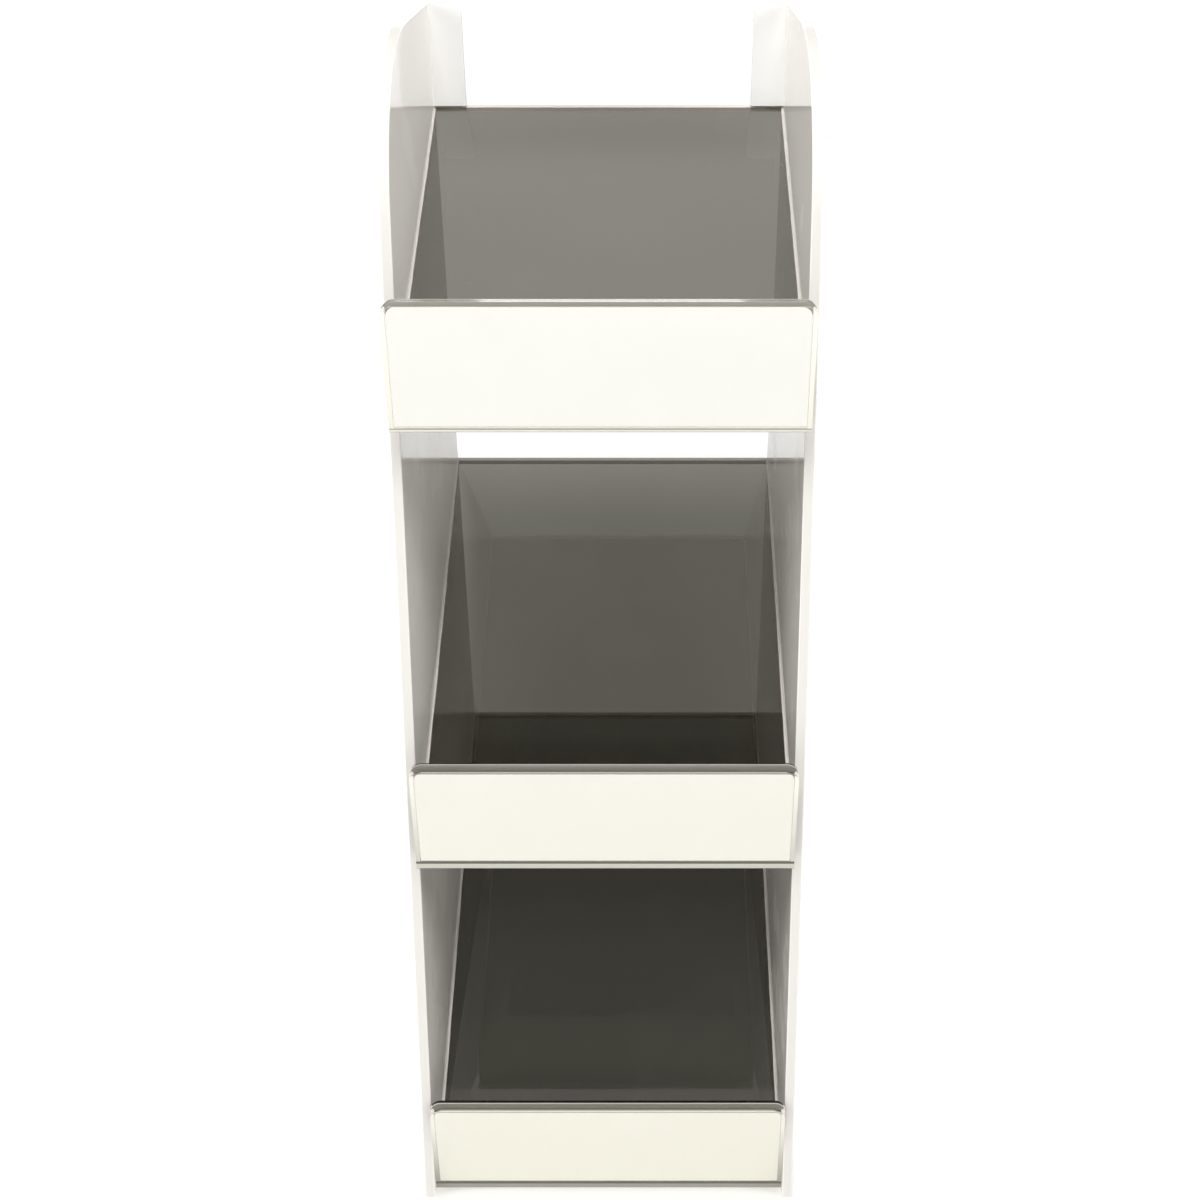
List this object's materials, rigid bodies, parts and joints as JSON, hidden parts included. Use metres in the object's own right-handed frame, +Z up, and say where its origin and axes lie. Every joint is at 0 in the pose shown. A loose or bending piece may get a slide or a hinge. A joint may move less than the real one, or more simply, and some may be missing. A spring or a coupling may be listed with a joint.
{
  "type": "countertop display rack",
  "caption": "Narrow stepped countertop display rack with white side panels, sloping smoked shelves with front lips, and pull-out label cards.",
  "frame": {"origin": "on the counter, under the middle of the rack's width and depth", "axes": "+Z up, -Y towards the shopper at the front, +X to the right seen from the front"},
  "size_m": [0.19, 0.27, 0.5485],
  "materials": {
    "white_acrylic": "glossy white acrylic sheet with polished edges",
    "smoked_acrylic": "glossy smoked grey acrylic sheet, see-through",
    "clear_plastic": "clear glossy plastic strip",
    "label_card": "plain white card, faint satin"
  },
  "bodies": {
    "rack": {"side_panel_left": "white_acrylic", "side_panel_right": "white_acrylic", "header_tab_left": "white_acrylic", "header_tab_right": "white_acrylic", "shelf_top": "smoked_acrylic", "label_holder_top": "clear_plastic", "shelf_middle": "smoked_acrylic", "label_holder_middle": "clear_plastic", "shelf_bottom": "smoked_acrylic", "label_holder_bottom": "clear_plastic"},
    "card_top": {"label_card_top": "label_card"},
    "card_middle": {"label_card_middle": "label_card"},
    "card_bottom": {"label_card_bottom": "label_card"}
  },
  "joints": [
    {"name": "label_card_top_slide", "type": "slide", "parent": "rack", "child": "card_top", "axis": [0, 0, 1], "range_m": [0, 0.053]},
    {"name": "label_card_middle_slide", "type": "slide", "parent": "rack", "child": "card_middle", "axis": [0, 0, 1], "range_m": [0, 0.053]},
    {"name": "label_card_bottom_slide", "type": "slide", "parent": "rack", "child": "card_bottom", "axis": [0, 0, 1], "range_m": [0, 0.053]}
  ]
}
